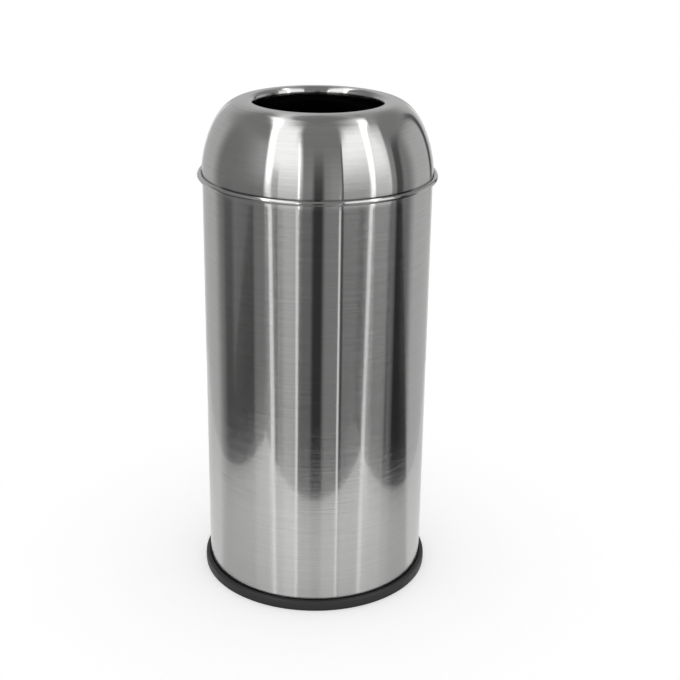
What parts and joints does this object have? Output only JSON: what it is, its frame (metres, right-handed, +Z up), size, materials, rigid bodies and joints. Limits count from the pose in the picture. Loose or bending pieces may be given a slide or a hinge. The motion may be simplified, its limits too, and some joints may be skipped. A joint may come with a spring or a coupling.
{
  "type": "dome top waste receptacle",
  "caption": "Round brushed stainless waste bin with an open dome lid that lifts off, a black base ring and a lift-out pail with a swinging wire handle.",
  "frame": {"origin": "on the floor, under the centre of the tube", "axes": "+Z up the tube, -Y towards the viewer of the picture, +X to the viewer's right"},
  "size_m": [0.3142, 0.3142, 0.6623],
  "materials": {
    "brushed_stainless": "brushed round the tube and the dome",
    "galvanised_steel": "zinc plated, dull",
    "black_coated_steel": "black powder coat, satin",
    "black_rubber": "moulded, satin",
    "black_plastic": "moulded, fine texture"
  },
  "bodies": {
    "shell": {"body_shell": "brushed_stainless", "bottom_pan": "galvanised_steel", "base_ring": "black_rubber"},
    "liner": {"liner_wall": "black_coated_steel", "liner_bottom": "black_coated_steel", "liner_rim_wire": "galvanised_steel", "ear_right": "black_coated_steel", "ear_left": "black_coated_steel", "ear_rivet_right_front": "galvanised_steel", "ear_rivet_right_rear": "galvanised_steel", "ear_rivet_left_front": "galvanised_steel", "ear_rivet_left_rear": "galvanised_steel"},
    "lid": {"dome_cover": "brushed_stainless", "locating_collar": "galvanised_steel"},
    "bail": {"bail_wire": "galvanised_steel", "handle_grip": "black_plastic"}
  },
  "joints": [
    {"name": "liner_lift", "type": "slide", "parent": "shell", "child": "liner", "axis": [0, 0, 1], "range_m": [0, 0.57]},
    {"name": "lid_lift", "type": "slide", "parent": "liner", "child": "lid", "axis": [0, 0, 1], "range_m": [0, 0.15]},
    {"name": "bail_swing", "type": "hinge", "parent": "liner", "child": "bail", "pos_m": [0, 0, 0.5368], "axis": [1, 0, 0], "range_deg": [0, 180]}
  ]
}
